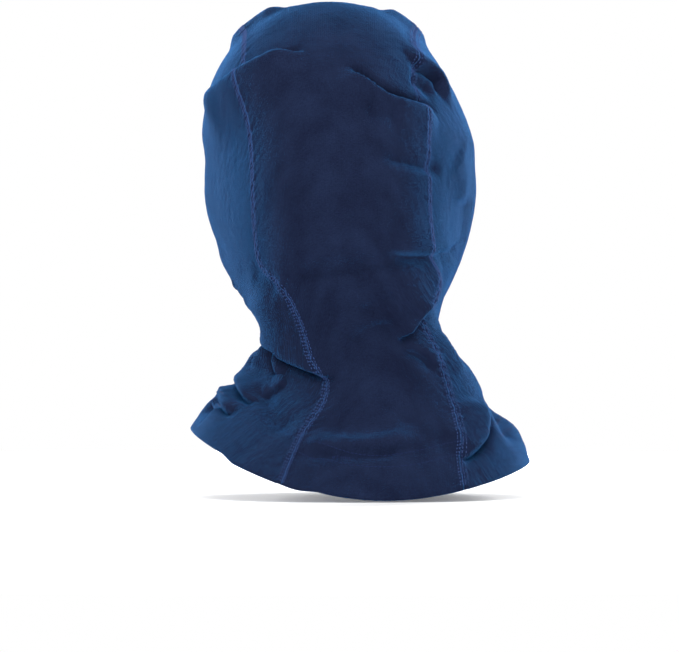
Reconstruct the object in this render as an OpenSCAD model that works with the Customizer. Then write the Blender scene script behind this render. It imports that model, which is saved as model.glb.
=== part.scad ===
// Knitted balaclava, as worn: four flat-locked panels, a bound face opening and a turned-up hem.
// Millimetres. The head's crown touches the origin from below, the face looks along -Y, +Z is up
// and +X is the wearer's left.

/* [Hood] */
// Width over the ears
head_w = 182; // [170:1:194]
// Width at the narrowest part of the neck
neck_w = 118; // [108:1:128]
// Depth from the forehead edge to the back of the head
head_l = 196; // [184:1:208]
// How far the neck stands to the wearer's right of the crown
lean = 20; // [0:1:22]

/* [Face opening] */
// Width between the cut edges, before binding
face_w = 116; // [104:1:124]
// Height between the cut edges, before binding
face_h = 130; // [116:1:138]
// Drop from the crown to the top cut edge
face_drop = 72; // [66:1:78]

/* [Neck and hem] */
// Width of the flared hem over the shoulders
hem_w = 222; // [200:2:232]
// Drop from the crown to the lowest point of the hem, at the back
total_drop = 323; // [316:1:330]
// Depth of the turned-up hem
hem_depth = 18; // [14:1:22]
// How far the left shoulder lifts the hem above the right one
shoulder_tilt = 18; // [0:2:24]

/* [Fabric and thread] */
// Thickness of the knitted cloth
cloth_t = 1.2; // [0.9:0.1:1.5]
// Width of a flat-locked seam
seam_w = 5.6; // [4.5:0.1:6.5]
// Thickness of the thread that covers a seam
thread_t = 0.4; // [0.3:0.1:0.5]
// Half the width of the centre panel over the head
crown_half = 54; // [50:1:58]
// Width of the face binding on each side of the cloth
binding_w = 9; // [7:1:11]
// Thickness of the binding strip
binding_t = 0.9; // [0.7:0.1:1.1]
// Width of the elastic tape inside the binding
elastic_w = 3.2; // [2.5:0.1:4]

/* [Care label] */
// Width of the label
label_w = 24; // [20:1:30]
// Length of the hanging flap
label_l = 26; // [20:1:28]
// Thickness of the folded label
label_t = 0.5; // [0.4:0.1:0.6]

/* [Hidden] */
ROWS = 30;                 // rings of facets between the binding line and the hem line
CROWN_COLUMNS = 8;         // facets across each panel, between its two seam margins
SIDE_COLUMNS = 12;
CHIN_COLUMNS = 6;
GAP = 0.03;                // air between parts that lie on each other
EASE = 0.3;                // air between the binding and what it covers or carries
STEP = 0.002;              // step of the finite differences
SQUARENESS = 2.15;         // exponent of the rings' rounded outline, crown half
INDIGO = [0.06, 0.09, 0.28];
THREAD_BLUE = [0.22, 0.28, 0.48];
ELASTIC_WHITE = [0.85, 0.85, 0.83];
LABEL_WHITE = [0.88, 0.88, 0.86];

chin_z = -face_drop - face_h;
back_y = head_l - 94;
head_r = head_w / 2;
neck_r = neck_w / 2;
hem_r = hem_w / 2;

// Rings of the loft, from the face opening over the crown and under the chin to the hem:
// [throat y, throat z, crown-side y, crown-side z, half width, exponent of the throat half's
//  outline, bow of the sides along the loft, lift of the left side]
RINGS = [
    [-84, chin_z, -93, -face_drop, face_w / 2, 2.2, 20, 0],
    [-78, chin_z - 13, -79, -38, head_r - 16, 2.0, 22, 0],
    [-66, chin_z - 26, -46, -9, head_r - 6, 1.8, 14, 0],
    [-57, chin_z - 34, 0, 0, head_r - 1, 1.7, 8, 0],
    [-52, chin_z - 41, 50, -13, head_r - 1, 1.6, 4, 0],
    [-49, chin_z - 47, back_y - 16, -46, head_r - 11, 1.6, 0, 0],
    [-47, chin_z - 52, back_y, -95, head_r - 23, 1.7, 0, 0],
    [-46, chin_z - 57, back_y - 5, -147, neck_r - 1, 1.9, 0, 0],
    [-46, chin_z - 63, back_y - 22, -192, neck_r + 1, 2.1, -1, 2],
    [-48, chin_z - 70, back_y - 33, -227, neck_r + 13, 2.3, -6, 5],
    [-56, chin_z - 81, back_y - 27, -260, neck_r + 22, 2.3, -14, 0.35 * shoulder_tilt],
    [-72, chin_z - 96, back_y - 11, -292, hem_r - 10, 2.3, -23, 0.5 * shoulder_tilt],
    [-92, chin_z - 116, back_y + 10, -total_drop, hem_r, 2.3, -29, 0.6 * shoulder_tilt]
];
LAST = len(RINGS) - 1;

// Half widths of the centre panel and of the chin panel, at the same rings.
CROWN_HALF = [for (k = [44, 49, 52, 54, 54, 55, 56, 53, 41, 39, 40, 50, 58]) k * crown_half / 54];
CHIN_HALF = [24, 27, 30, 32, 34, 35, 36, 37, 38, 40, 43, 48, 54];

// How far the cloth is turned round the head and neck, in degrees, at the same rings.
TWIST = [0, 0, 0, 0, 0, 0, -2, -4, -7, -11, -13, -8, -6];

// How far the hood stands to the wearer's right, at every LEAN_STEP below the crown.
LEAN_STEP = 50;
LEAN = [for (k = [0, 0, 0.28, 0.32, 0.52, 1.1, 0.95, 0.8]) -k * lean];

// ---- The lofted inner surface of the cloth ----

// A smooth curve through the entries of v (numbers or rows), at position k.
function through(v, k) =
    let (
        i = min(max(floor(k), 0), len(v) - 2),
        t = k - i,
        a = v[max(i - 1, 0)],
        b = v[i],
        c = v[i + 1],
        d = v[min(i + 2, len(v) - 1)]
    )
    0.5 * (2 * b + (c - a) * t + (2 * a - 5 * b + 4 * c - d) * t * t + (3 * b - a - 3 * c + d) * t * t * t);

// The inner face: s runs from 0 at the face opening to 1 at the hem, and angle runs round the
// ring from its crown side (0) over the wearer's left (90) to the throat (180).
function inner_face(angle, s) =
    let (
        ring = through(RINGS, s * LAST),
        throat = [ring[0], ring[1]],
        crown = [ring[2], ring[3]],
        half = norm(crown - throat) / 2,
        up = (crown - throat) / (2 * half),
        along = [up[1], -up[0]],
        n = cos(angle) > 0 ? SQUARENESS : ring[5],
        r = pow(pow(abs(sin(angle)) / ring[4], n) + pow(abs(cos(angle)) / half, n), -1 / n),
        bow = ring[6] * pow(sin(angle), 2) - ring[7] * sin(angle),
        yz = (crown + throat) / 2 + up * r * cos(angle) + along * bow
    )
    [r * sin(angle) + through(LEAN, -yz[1] / LEAN_STEP), yz[0], yz[1]];

function round_tangent(angle, s) = (inner_face(angle + 0.2, s) - inner_face(angle - 0.2, s)) / 0.4;
function along_tangent(angle, s) =
    let (a = max(s - STEP, 0), b = min(s + STEP, 1))
    (inner_face(angle, b) - inner_face(angle, a)) / (b - a);
function unit(v) = v / norm(v);
function outward(angle, s) = unit(cross(round_tangent(angle, s), along_tangent(angle, s)));
function lifted(angle, s, h) = inner_face(angle, s) + outward(angle, s) * h;

// ---- Rows and columns, shared by every part, so that parts meet facet to facet ----

// The angle from a ring's end at which it has a given half width.
function angle_at(half_width, ring, n) =
    let (half = norm([ring[2] - ring[0], ring[3] - ring[1]]) / 2)
    atan2(half_width, half * pow(1 - pow(half_width / ring[4], n), 1 / n));
function crown_seam(s) =
    let (ring = through(RINGS, s * LAST)) angle_at(through(CROWN_HALF, s * LAST), ring, SQUARENESS);
function chin_seam(s) =
    let (ring = through(RINGS, s * LAST)) 180 - angle_at(through(CHIN_HALF, s * LAST), ring, ring[5]);

// Half a seam's width as an angle.
function margin(angle, s) = seam_w / 2 / norm(round_tangent(angle, s));

// A ring position for row 0 (cut edge), 1 (binding line), then even rows down to the hem's upper
// needle row, the turned-up raw edge, the lower needle row and the hem edge.
function binding_s(angle) = binding_w / norm(along_tangent(angle, 0));
function hem_s(angle, up) = 1 - (hem_depth + up) / norm(along_tangent(angle, 1));
BINDING_ROW = 1;
UPPER_NEEDLE_ROW = ROWS + 1;
HEM_ROW = ROWS + 2;
LOWER_NEEDLE_ROW = ROWS + 3;
EDGE_ROW = ROWS + 4;
function row_s(angle, row) =
    row == 0 ? 0
    : row == EDGE_ROW ? 1
    : row == HEM_ROW ? hem_s(angle, 0)
    : row == LOWER_NEEDLE_ROW ? hem_s(angle, -seam_w / 2)
    : binding_s(angle) + (hem_s(angle, seam_w / 2) - binding_s(angle)) * (row - BINDING_ROW) / ROWS;

// Angles of the seams at every row: left crown, left chin, right chin, right crown. A seam's angle
// and its ring position depend on each other, so they are settled in two passes.
SEAMS = [0:3];
function seam_at(seam, s) =
    through(TWIST, s * LAST) + [crown_seam(s), chin_seam(s), 360 - chin_seam(s), 360 - crown_seam(s)][seam];
function settle(seam, row) =
    let (
        first = seam_at(seam, row / EDGE_ROW),
        second = seam_at(seam, row_s(first, row))
    )
    seam_at(seam, row_s(second, row));
SEAM_ANGLES = [for (row = [0:EDGE_ROW]) [for (seam = SEAMS) settle(seam, row)]];

// Columns of a panel at a row: its two seams, a margin inside each, and even steps between.
function columns(row, from, to, count) =
    let (
        m0 = margin(from, row_s(from, row)),
        m1 = margin(to, row_s(to, row))
    )
    concat([from], [for (i = [0:count]) from + m0 + (to - from - m0 - m1) * i / count], [to]);
function crown_columns(row) = columns(row, SEAM_ANGLES[row][3] - 360, SEAM_ANGLES[row][0], CROWN_COLUMNS);
function left_columns(row) = columns(row, SEAM_ANGLES[row][0], SEAM_ANGLES[row][1], SIDE_COLUMNS);
function chin_columns(row) = columns(row, SEAM_ANGLES[row][1], SEAM_ANGLES[row][2], CHIN_COLUMNS);
function right_columns(row) = columns(row, SEAM_ANGLES[row][2], SEAM_ANGLES[row][3], SIDE_COLUMNS);

// ---- Solids from grids of points ----

function square(a, b, c, d) = [[a, b, c], [a, c, d]];

// A closed slab between two grids of the same size, outer[row][column] and inner[row][column].
module slab(outer, inner) {
    rows = len(outer);
    cols = len(outer[0]);
    count = rows * cols;
    points = concat([for (r = outer) for (p = r) p], [for (r = inner) for (p = r) p]);
    skin = [for (i = [0:rows - 2]) for (j = [0:cols - 2])
        let (a = i * cols + j) for (t = square(a, a + cols, a + cols + 1, a + 1)) t];
    rim = concat(
        [for (j = [0:cols - 1]) j],
        [for (i = [1:rows - 1]) i * cols + cols - 1],
        [for (j = [cols - 2:-1:0]) (rows - 1) * cols + j],
        [for (i = [rows - 2:-1:1]) i * cols]
    );
    n = len(rim);
    walls = [for (k = [0:n - 1])
        let (a = rim[k], b = rim[(k + 1) % n]) for (t = square(a, b, b + count, a + count)) t];
    polyhedron(
        points,
        concat(skin, [for (t = skin) [t[2] + count, t[1] + count, t[0] + count]], walls)
    );
}

// A closed ring whose section at every station is the same polygon of points.
module hoop(stations) {
    n = len(stations);
    m = len(stations[0]);
    polyhedron(
        [for (s = stations) for (p = s) p],
        [for (i = [0:n - 1]) for (j = [0:m - 1])
            let (a = i * m, b = (i + 1) % n * m, k = (j + 1) % m)
            for (t = square(a + j, a + k, b + k, b + j)) t]
    );
}

// ---- Cloth ----

CROWN_ANGLES = [for (row = [0:EDGE_ROW]) crown_columns(row)];
LEFT_ANGLES = [for (row = [0:EDGE_ROW]) left_columns(row)];
CHIN_ANGLES = [for (row = [0:EDGE_ROW]) chin_columns(row)];
RIGHT_ANGLES = [for (row = [0:EDGE_ROW]) right_columns(row)];

// Points on the panels' rows and columns, at a height above the cloth's inner face.
function grid(angles, rows, height) =
    [for (row = rows) [for (a = angles[row]) lifted(a, row_s(a, row), height)]];

// A layer that lies on those rows and columns between two heights.
module layer(angles, rows, low, high) {
    slab(grid(angles, rows, high), grid(angles, rows, low));
}

// One ply down to the hem edge, and the turned-up ply inside it.
module panel(angles) {
    color(INDIGO) union() {
        layer(angles, [0:EDGE_ROW], 0, cloth_t);
        layer(angles, [HEM_ROW:EDGE_ROW], -cloth_t, 0);
    }
}

module crown_panel() { panel(CROWN_ANGLES); }
module left_side_panel() { panel(LEFT_ANGLES); }
module right_side_panel() { panel(RIGHT_ANGLES); }
module chin_panel() { panel(CHIN_ANGLES); }

// ---- Flat-locked seams: cover threads outside, looper threads inside ----

// A seam's middle and its two edges at every row. LEFT_CROWN and so on index SEAM_ANGLES.
LEFT_CROWN = 0;
LEFT_CHIN = 1;
RIGHT_CHIN = 2;
RIGHT_CROWN = 3;
function seam_columns(seam) = [for (row = [0:EDGE_ROW])
    let (a = SEAM_ANGLES[row][seam], m = margin(a, row_s(a, row))) [a - m, a, a + m]];

module cover_thread(seam) {
    color(THREAD_BLUE)
        layer(seam_columns(seam), [BINDING_ROW:EDGE_ROW], cloth_t + GAP, cloth_t + GAP + thread_t);
}
module looper_thread(seam) {
    color(THREAD_BLUE)
        layer(seam_columns(seam), [BINDING_ROW:HEM_ROW], -GAP - thread_t, -GAP);
}

// ---- Hem stitching ----

// The columns of a panel without its seam margins.
function between_seams(angles) = [for (row = angles) [for (j = [1:len(row) - 2]) row[j]]];

module hem_needle_threads() {
    color(THREAD_BLUE)
        for (angles = [CROWN_ANGLES, LEFT_ANGLES, CHIN_ANGLES, RIGHT_ANGLES])
            layer(
                between_seams(angles), [UPPER_NEEDLE_ROW:LOWER_NEEDLE_ROW],
                cloth_t + GAP, cloth_t + GAP + thread_t
            );
}

// All the columns of a row, once round the ring.
function drop_last(v) = [for (i = [0:len(v) - 2]) v[i]];
function round_columns(row) = concat(
    drop_last(CROWN_ANGLES[row]), drop_last(LEFT_ANGLES[row]),
    drop_last(CHIN_ANGLES[row]), drop_last(RIGHT_ANGLES[row])
);

module hem_looper_thread() {
    low = -cloth_t - GAP - thread_t;
    high = -cloth_t - GAP;
    upper = round_columns(HEM_ROW);
    lower = round_columns(LOWER_NEEDLE_ROW);
    color(THREAD_BLUE) hoop([for (j = [0:len(upper) - 1])
        let (a = upper[j], b = lower[j], sa = row_s(a, HEM_ROW), sb = row_s(b, LOWER_NEEDLE_ROW))
        [lifted(a, sa, low), lifted(a, sa, high), lifted(b, sb, high), lifted(b, sb, low)]
    ]);
}

// ---- Face opening: a strip folded over the cut edge, with elastic in the fold ----

// A point beyond the cut edge, out along the cloth by reach and at a height above its inner face.
function beyond(angle, reach, height) =
    inner_face(angle, 0) - unit(along_tangent(angle, 0)) * reach + outward(angle, 0) * height;

CUT_COLUMNS = round_columns(0);
BINDING_COLUMNS = round_columns(BINDING_ROW);
function on_binding_line(j, height) =
    let (a = BINDING_COLUMNS[j]) lifted(a, row_s(a, BINDING_ROW), height);

module face_binding() {
    top = cloth_t + EASE;
    fold = elastic_w + 2 * EASE;
    color(INDIGO) hoop([for (j = [0:len(CUT_COLUMNS) - 1])
        let (a = CUT_COLUMNS[j])
        [
            on_binding_line(j, top),
            beyond(a, 0, top),
            beyond(a, fold, top),
            beyond(a, fold, -EASE),
            beyond(a, 0, -EASE),
            on_binding_line(j, -EASE),
            on_binding_line(j, -EASE - binding_t),
            beyond(a, 0, -EASE - binding_t),
            beyond(a, fold, -EASE - binding_t),
            beyond(a, fold + binding_t, 0),
            beyond(a, fold + binding_t, cloth_t),
            beyond(a, fold, top + binding_t),
            beyond(a, 0, top + binding_t),
            on_binding_line(j, top + binding_t)
        ]
    ]);
}

module face_elastic() {
    color(ELASTIC_WHITE) hoop([for (a = CUT_COLUMNS) [
        beyond(a, EASE, 0),
        beyond(a, EASE + elastic_w, 0),
        beyond(a, EASE + elastic_w, cloth_t),
        beyond(a, EASE, cloth_t)
    ]]);
}

// A thread run on a leg of the binding, 1.2 to 3.2 mm inside its edge.
module binding_thread(high, low) {
    near = 1.2 / binding_w;
    far = 3.2 / binding_w;
    color(THREAD_BLUE) hoop([for (j = [0:len(CUT_COLUMNS) - 1])
        let (a = CUT_COLUMNS[j])
        [for (corner = [[near, high], [near, low], [far, low], [far, high]])
            on_binding_line(j, corner[1]) * (1 - corner[0]) + beyond(a, 0, corner[1]) * corner[0]]
    ]);
}
module binding_needle_thread() {
    on = cloth_t + binding_t + 2 * EASE;
    binding_thread(on + thread_t, on);
}
module binding_looper_thread() {
    on = -binding_t - 2 * EASE;
    binding_thread(on, on - thread_t);
}

// ---- Care label, tacked inside the nape of the centre panel ----

LABEL_RING = 10;                                   // the ring of the loft that it hangs at
label_s = LABEL_RING / LAST;
label_slope = let (t = along_tangent(0, label_s)) atan2(t[1], -t[2]);
LABEL_STAND = 2.2;                                 // its distance from the cloth's inner face
ROOT_L = 5;                                        // the sewn strip above the fold
FOLD_H = 0.8;                                      // room for the fold to turn
label_hinge = lifted(0, label_s, -LABEL_STAND);

module label_root() {
    color(LABEL_WHITE) translate(label_hinge) rotate([label_slope, 0, 0])
        translate([-label_w / 2, -label_t / 2, FOLD_H])
            cube([label_w, label_t, ROOT_L]);
}

// Two bar tacks that hold the strip's ends to the cloth.
module label_stitching() {
    tack = [3, 0.7, ROOT_L - 1];
    color(THREAD_BLUE) translate(label_hinge) rotate([label_slope, 0, 0])
        for (side = [-1, 1])
            translate([side * (label_w - tack[0]) / 2 - tack[0] / 2, label_t / 2 + GAP, 2 * FOLD_H])
                cube(tack);
}

// The flap hangs straight down from the fold and turns about it.
module care_label() {
    color(LABEL_WHITE) translate(label_hinge)
        translate([-label_w / 2, -label_t / 2, -label_l])
            cube([label_w, label_t, label_l]);
}

crown_panel();
left_side_panel();
right_side_panel();
chin_panel();
face_binding();
face_elastic();
cover_thread(LEFT_CROWN);  // left_crown_seam_cover_thread
cover_thread(RIGHT_CROWN);  // right_crown_seam_cover_thread
cover_thread(LEFT_CHIN);  // left_chin_seam_cover_thread
cover_thread(RIGHT_CHIN);  // right_chin_seam_cover_thread
looper_thread(LEFT_CROWN);  // left_crown_seam_looper_thread
looper_thread(RIGHT_CROWN);  // right_crown_seam_looper_thread
looper_thread(LEFT_CHIN);  // left_chin_seam_looper_thread
looper_thread(RIGHT_CHIN);  // right_chin_seam_looper_thread
hem_needle_threads();
hem_looper_thread();
binding_needle_thread();
binding_looper_thread();
label_root();
label_stitching();
care_label();
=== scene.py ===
"""Knitted balaclava, as worn on a head that looks away: four flat-locked panels, a bound face
opening and a turned-up hem. Lengths in the tables are millimetres; every mesh is in metres."""

import bpy
import numpy as np
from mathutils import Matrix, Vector


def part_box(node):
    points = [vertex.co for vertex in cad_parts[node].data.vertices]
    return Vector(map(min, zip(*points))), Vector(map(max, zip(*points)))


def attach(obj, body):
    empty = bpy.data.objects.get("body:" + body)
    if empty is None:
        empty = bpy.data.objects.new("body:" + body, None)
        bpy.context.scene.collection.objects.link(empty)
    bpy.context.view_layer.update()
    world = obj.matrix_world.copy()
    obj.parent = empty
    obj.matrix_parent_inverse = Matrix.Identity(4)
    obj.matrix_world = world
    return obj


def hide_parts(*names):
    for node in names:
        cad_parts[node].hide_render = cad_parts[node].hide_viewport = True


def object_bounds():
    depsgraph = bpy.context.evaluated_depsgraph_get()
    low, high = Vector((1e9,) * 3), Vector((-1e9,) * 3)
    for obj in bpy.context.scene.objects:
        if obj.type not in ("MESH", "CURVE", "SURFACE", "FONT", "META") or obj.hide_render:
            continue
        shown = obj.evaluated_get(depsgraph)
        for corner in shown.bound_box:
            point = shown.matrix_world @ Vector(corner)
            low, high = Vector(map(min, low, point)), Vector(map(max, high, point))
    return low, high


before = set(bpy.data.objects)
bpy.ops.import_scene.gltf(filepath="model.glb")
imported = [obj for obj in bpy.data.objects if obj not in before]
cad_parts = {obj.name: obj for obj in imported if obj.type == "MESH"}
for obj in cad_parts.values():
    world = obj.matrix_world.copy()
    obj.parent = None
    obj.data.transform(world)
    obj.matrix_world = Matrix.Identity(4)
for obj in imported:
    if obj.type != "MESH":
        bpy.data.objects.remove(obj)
CAD_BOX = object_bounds()

bl_info = {
    "name": "Knitted balaclava",
    "version": (1, 0, 0),
    "blender": (4, 5, 0),
    "location": "View3D > Sidebar > Balaclava",
    "description": "Builds a worn knitted balaclava round its packed frame",
    "category": "Object",
}

MM = 0.001
BODY = "hood"

# ---- Loft of the cloth's inner face, as in the frame ----

FACE_DROP = 72.0
CHIN_Z = -202.0
BACK_Y = 102.0
HEAD_R = 91.0
NECK_R = 59.0
HEM_R = 111.0
TILT = 18.0
# Rings from the face opening over the crown and under the chin to the hem: throat y, throat z,
# crown-side y, crown-side z, half width, outline exponent below, bow of the sides, left lift.
RINGS = np.array([
    [-84, CHIN_Z, -93, -FACE_DROP, 58, 2.2, 20, 0],
    [-78, CHIN_Z - 13, -79, -38, HEAD_R - 16, 2.0, 22, 0],
    [-66, CHIN_Z - 26, -46, -9, HEAD_R - 6, 1.8, 14, 0],
    [-57, CHIN_Z - 34, 0, 0, HEAD_R - 1, 1.7, 8, 0],
    [-52, CHIN_Z - 41, 50, -13, HEAD_R - 1, 1.6, 4, 0],
    [-49, CHIN_Z - 47, BACK_Y - 16, -46, HEAD_R - 11, 1.6, 0, 0],
    [-47, CHIN_Z - 52, BACK_Y, -95, HEAD_R - 23, 1.7, 0, 0],
    [-46, CHIN_Z - 57, BACK_Y - 5, -147, NECK_R - 1, 1.9, 0, 0],
    [-46, CHIN_Z - 63, BACK_Y - 22, -192, NECK_R + 1, 2.1, -1, 2],
    [-48, CHIN_Z - 70, BACK_Y - 33, -227, NECK_R + 13, 2.3, -6, 5],
    [-56, CHIN_Z - 81, BACK_Y - 27, -260, NECK_R + 22, 2.3, -14, 0.35 * TILT],
    [-72, CHIN_Z - 96, BACK_Y - 11, -292, HEM_R - 10, 2.3, -23, 0.5 * TILT],
    [-92, CHIN_Z - 116, BACK_Y + 10, -323, HEM_R, 2.3, -29, 0.6 * TILT],
])
LAST = len(RINGS) - 1
CROWN_SQUARENESS = 2.15
CROWN_HALF = np.array([44, 49, 52, 54, 54, 55, 56, 53, 41, 39, 40, 50, 58], float)
CHIN_HALF = np.array([24, 27, 30, 32, 34, 35, 36, 37, 38, 40, 43, 48, 54], float)
# How far the cloth is turned round the head and neck, in degrees.
TWIST = np.array([0, 0, 0, 0, 0, 0, -2, -4, -7, -11, -13, -8, -6], float)
# How far the hood stands to the wearer's right, every 50 mm below the crown.
LEAN = -20 * np.array([0, 0, 0.28, 0.32, 0.52, 1.1, 0.95, 0.8])
LEAN_STEP = 50.0


def through(table, k):
    """A smooth curve through the entries of a table, at positions k."""
    i = np.clip(np.floor(k), 0, len(table) - 2).astype(int)
    t = k - i
    if table.ndim > 1:
        t = t[..., None]
    a = table[np.maximum(i - 1, 0)]
    b = table[i]
    c = table[i + 1]
    d = table[np.minimum(i + 2, len(table) - 1)]
    return 0.5 * (2 * b + (c - a) * t + (2 * a - 5 * b + 4 * c - d) * t**2 + (3 * b - a - 3 * c + d) * t**3)


def inner_face(angle, s):
    """Points of the cloth's inner face: s is 0 at the face opening and 1 at the hem, and angle
    runs round from the crown side over the wearer's left to the throat at 180 degrees."""
    ring = through(RINGS, s * LAST)
    throat = ring[..., 0:2]
    crown = ring[..., 2:4]
    half = np.linalg.norm(crown - throat, axis=-1) / 2
    up = (crown - throat) / (2 * half[..., None])
    along = np.stack([up[..., 1], -up[..., 0]], -1)
    sin, cos = np.sin(np.radians(angle)), np.cos(np.radians(angle))
    n = np.where(cos > 0, CROWN_SQUARENESS, ring[..., 5])
    r = (np.abs(sin / ring[..., 4]) ** n + np.abs(cos / half) ** n) ** (-1 / n)
    bow = ring[..., 6] * sin**2 - ring[..., 7] * sin
    yz = (crown + throat) / 2 + up * (r * cos)[..., None] + along * bow[..., None]
    x = r * sin + through(LEAN, -yz[..., 1] / LEAN_STEP)
    return np.stack([x, yz[..., 0], yz[..., 1]], -1)


def seam_angle(half_width, ring, n):
    """Angle from a ring's end at which it has a given half width."""
    half = np.linalg.norm(ring[..., 2:4] - ring[..., 0:2], axis=-1) / 2
    return np.degrees(np.arctan2(half_width, half * (1 - (half_width / ring[..., 4]) ** n) ** (1 / n)))


def crown_seam(s):
    return seam_angle(through(CROWN_HALF, s * LAST), through(RINGS, s * LAST), CROWN_SQUARENESS)


def chin_seam(s):
    ring = through(RINGS, s * LAST)
    return 180 - seam_angle(through(CHIN_HALF, s * LAST), ring, ring[..., 5])


# ---- Rows and columns of the cloth ----

# Meant depths. row_s divides them by the loft's pace at its very ends, about half its pace inside,
# so on the cloth the binding and the hem come out nearly twice as deep.
BINDING_W = 9.0
HEM_DEPTH = 18.0
BINDING_ROWS = 8
BODY_ROWS = 330
HEM_ROWS = 15
BINDING_ROW = BINDING_ROWS
HEM_ROW = BINDING_ROW + BODY_ROWS
EDGE_ROW = HEM_ROW + HEM_ROWS
# Columns across the crown panel, left side, chin panel and right side.
PANEL_COLUMNS = {
    "crown_panel": 96,
    "left_side_panel": 116,
    "chin_panel": 60,
    "right_side_panel": 116,
}
PANEL_START = {}
COLUMNS = 0
for _name, _count in PANEL_COLUMNS.items():
    PANEL_START[_name] = COLUMNS
    COLUMNS += _count
SEAM_COLUMN = {
    "right_crown": PANEL_START["crown_panel"],
    "left_crown": PANEL_START["left_side_panel"],
    "left_chin": PANEL_START["chin_panel"],
    "right_chin": PANEL_START["right_side_panel"],
}


def along_length(angle, s):
    """Length of cloth per unit of s."""
    step = 0.002
    low, high = max(s - step, 0.0), min(s + step, 1.0)
    move = inner_face(angle, np.full_like(angle, high)) - inner_face(angle, np.full_like(angle, low))
    return np.linalg.norm(move, axis=-1) / (high - low)


def row_s(angle, row):
    """Ring positions of a row at given angles."""
    binding = BINDING_W / along_length(angle, 0.0)
    hem = 1 - HEM_DEPTH / along_length(angle, 1.0)
    if row <= BINDING_ROW:
        return binding * row / BINDING_ROWS
    if row <= HEM_ROW:
        return binding + (hem - binding) * (row - BINDING_ROW) / BODY_ROWS
    return hem + (1 - hem) * (row - HEM_ROW) / HEM_ROWS


def settled(seam, side, row):
    """A seam's angle at a row, found in a few rounds as angle and ring position depend on each other."""
    s = np.array([row / EDGE_ROW])
    for _ in range(5):
        angle = side * seam(s) + through(TWIST, s * LAST)
        s = row_s(angle, row)
    return float(angle[0])


def base_grid():
    """The cloth's inner face before it folds, as rows of points round the hood."""
    rows = []
    for row in range(EDGE_ROW + 1):
        left = [settled(seam, 1, row) for seam in (crown_seam, chin_seam)]
        right = [settled(seam, -1, row) for seam in (crown_seam, chin_seam)]
        stops = [right[0], left[0], left[1], right[1] + 360, right[0] + 360]
        angles = np.concatenate([
            np.linspace(a, b, n, endpoint=False)
            for a, b, n in zip(stops, stops[1:], PANEL_COLUMNS.values())
        ])
        rows.append(inner_face(angles, row_s(angles, row)))
    return np.array(rows)


def unit(v):
    return v / np.maximum(np.linalg.norm(v, axis=-1, keepdims=True), 1e-9)


def normals_of(grid):
    """Outward normals of a grid of points that closes round."""
    across = np.roll(grid, -1, 1) - np.roll(grid, 1, 1)
    along = np.gradient(grid, axis=0)
    return unit(np.cross(across, along))


# ---- Folds ----

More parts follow.
